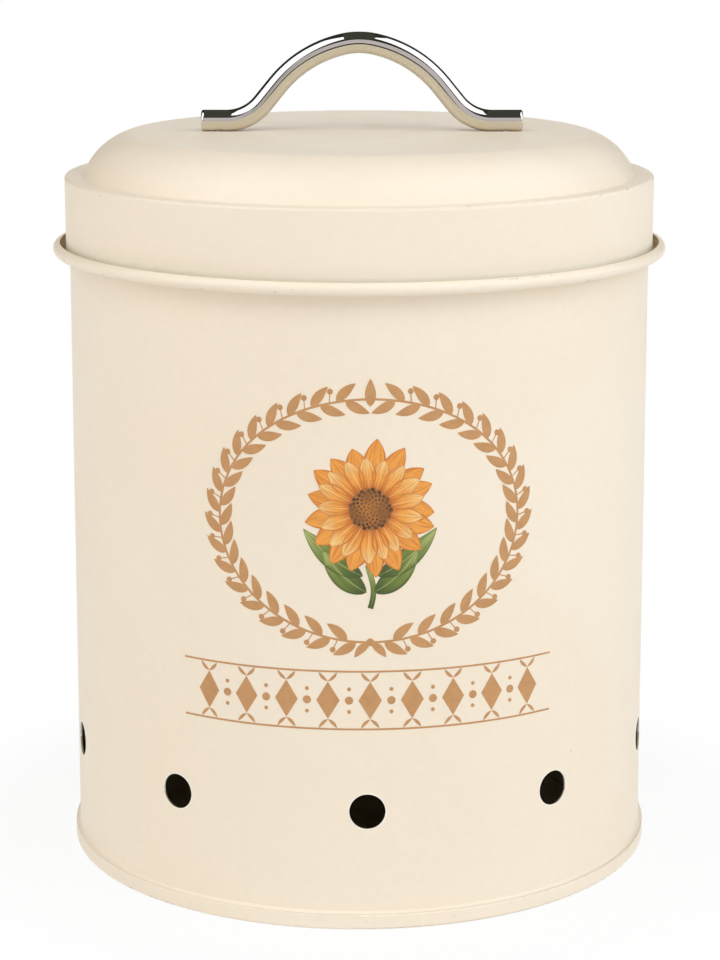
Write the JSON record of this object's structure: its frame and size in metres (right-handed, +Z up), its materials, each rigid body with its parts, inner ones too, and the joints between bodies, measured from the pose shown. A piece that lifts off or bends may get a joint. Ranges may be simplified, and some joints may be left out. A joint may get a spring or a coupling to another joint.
{
  "type": "onion storage canister",
  "caption": "Round vented storage canister with a rolled rim and a domed lift-off lid carrying a bent bar handle.",
  "frame": {"origin": "centre of the foot ring, on the surface the canister stands on", "axes": "+Z up along the canister's axis, the decorated front towards -Y, the handle along X"},
  "size_m": [0.1786, 0.1786, 0.2409],
  "materials": {
    "cream_paint": "satin cream paint on sheet steel",
    "chrome": "polished plating",
    "zinc_steel": "bright zinc plate"
  },
  "bodies": {
    "canister": {"body_wall": "cream_paint", "base_pan": "cream_paint"},
    "lid": {"lid_shell": "cream_paint", "handle_bar": "chrome", "handle_screw_left": "zinc_steel", "handle_screw_right": "zinc_steel", "handle_washer_left": "zinc_steel", "handle_washer_right": "zinc_steel"}
  },
  "joints": [
    {"name": "lid_lift", "type": "slide", "parent": "canister", "child": "lid", "axis": [0, 0, 1], "range_m": [0, 0.12]}
  ]
}
